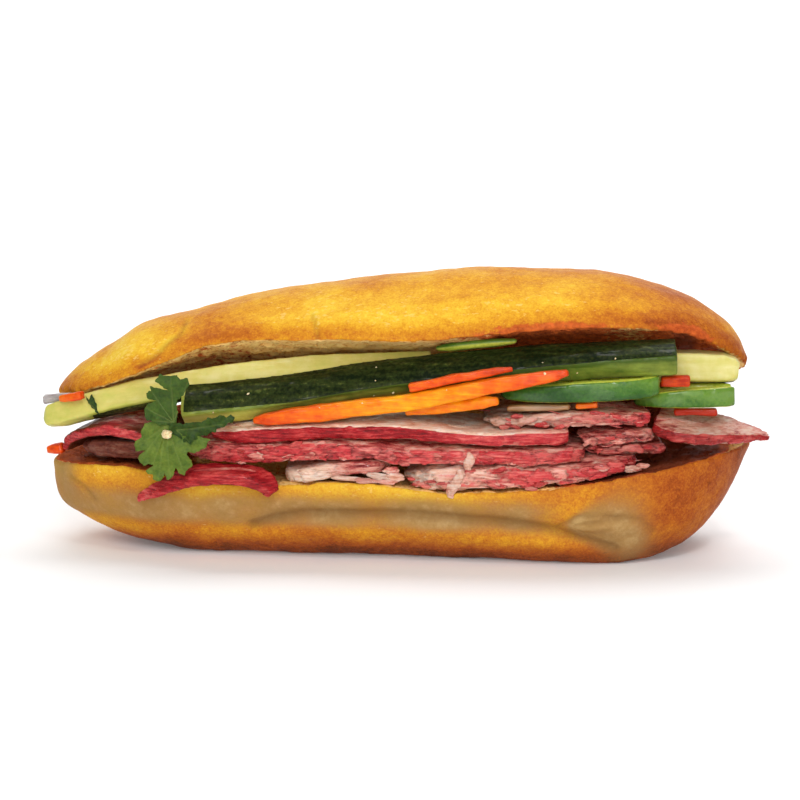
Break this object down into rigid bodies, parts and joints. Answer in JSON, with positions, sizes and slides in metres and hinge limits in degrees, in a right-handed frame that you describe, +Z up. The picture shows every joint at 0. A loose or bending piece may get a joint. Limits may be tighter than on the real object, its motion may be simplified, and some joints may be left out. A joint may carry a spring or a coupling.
{
  "type": "banh mi sandwich",
  "caption": "Long crusty roll slit along its front and filled with roast pork slices, cucumber and carrot sticks, radish shreds, green pepper slices and a herb sprig.",
  "frame": {"origin": "middle of the underside of the whole sandwich, on the surface it lies on", "axes": "+X along the roll towards its fuller end, -Y towards the open front, +Z up"},
  "size_m": [0.2312, 0.0866, 0.0897],
  "materials": {
    "bread": "baked crust, golden with a soft gloss on top, over pale open crumb",
    "pork": "moist roast meat, pinkish grey and cream faces with crimson glazed rims",
    "cucumber": "wet pale green flesh with dark green waxy skin",
    "carrot": "wet pickled shreds, bright orange",
    "radish": "wet pickled shreds, translucent white",
    "pepper": "glossy green skin with a lighter cut edge",
    "herb": "fresh leaf, satin with pale veins"
  },
  "bodies": {
    "root": {"bread": "bread", "carrot_1": "carrot", "carrot_2": "carrot", "carrot_3": "carrot", "carrot_4": "carrot", "carrot_5": "carrot", "carrot_6": "carrot", "carrot_7": "carrot", "carrot_8": "carrot", "cucumber_front": "cucumber", "cucumber_left": "cucumber", "cucumber_right": "cucumber", "herb_sprig": "herb", "pepper_back": "pepper", "pepper_front": "pepper", "pepper_sliver": "pepper", "pork_1": "pork", "pork_2": "pork", "pork_3": "pork", "pork_4": "pork", "pork_5": "pork", "pork_6": "pork", "pork_7": "pork", "pork_arch": "pork", "pork_crumpled": "pork", "pork_flap": "pork", "pork_tail": "pork", "radish_1": "radish", "radish_2": "radish"}
  },
  "joints": []
}
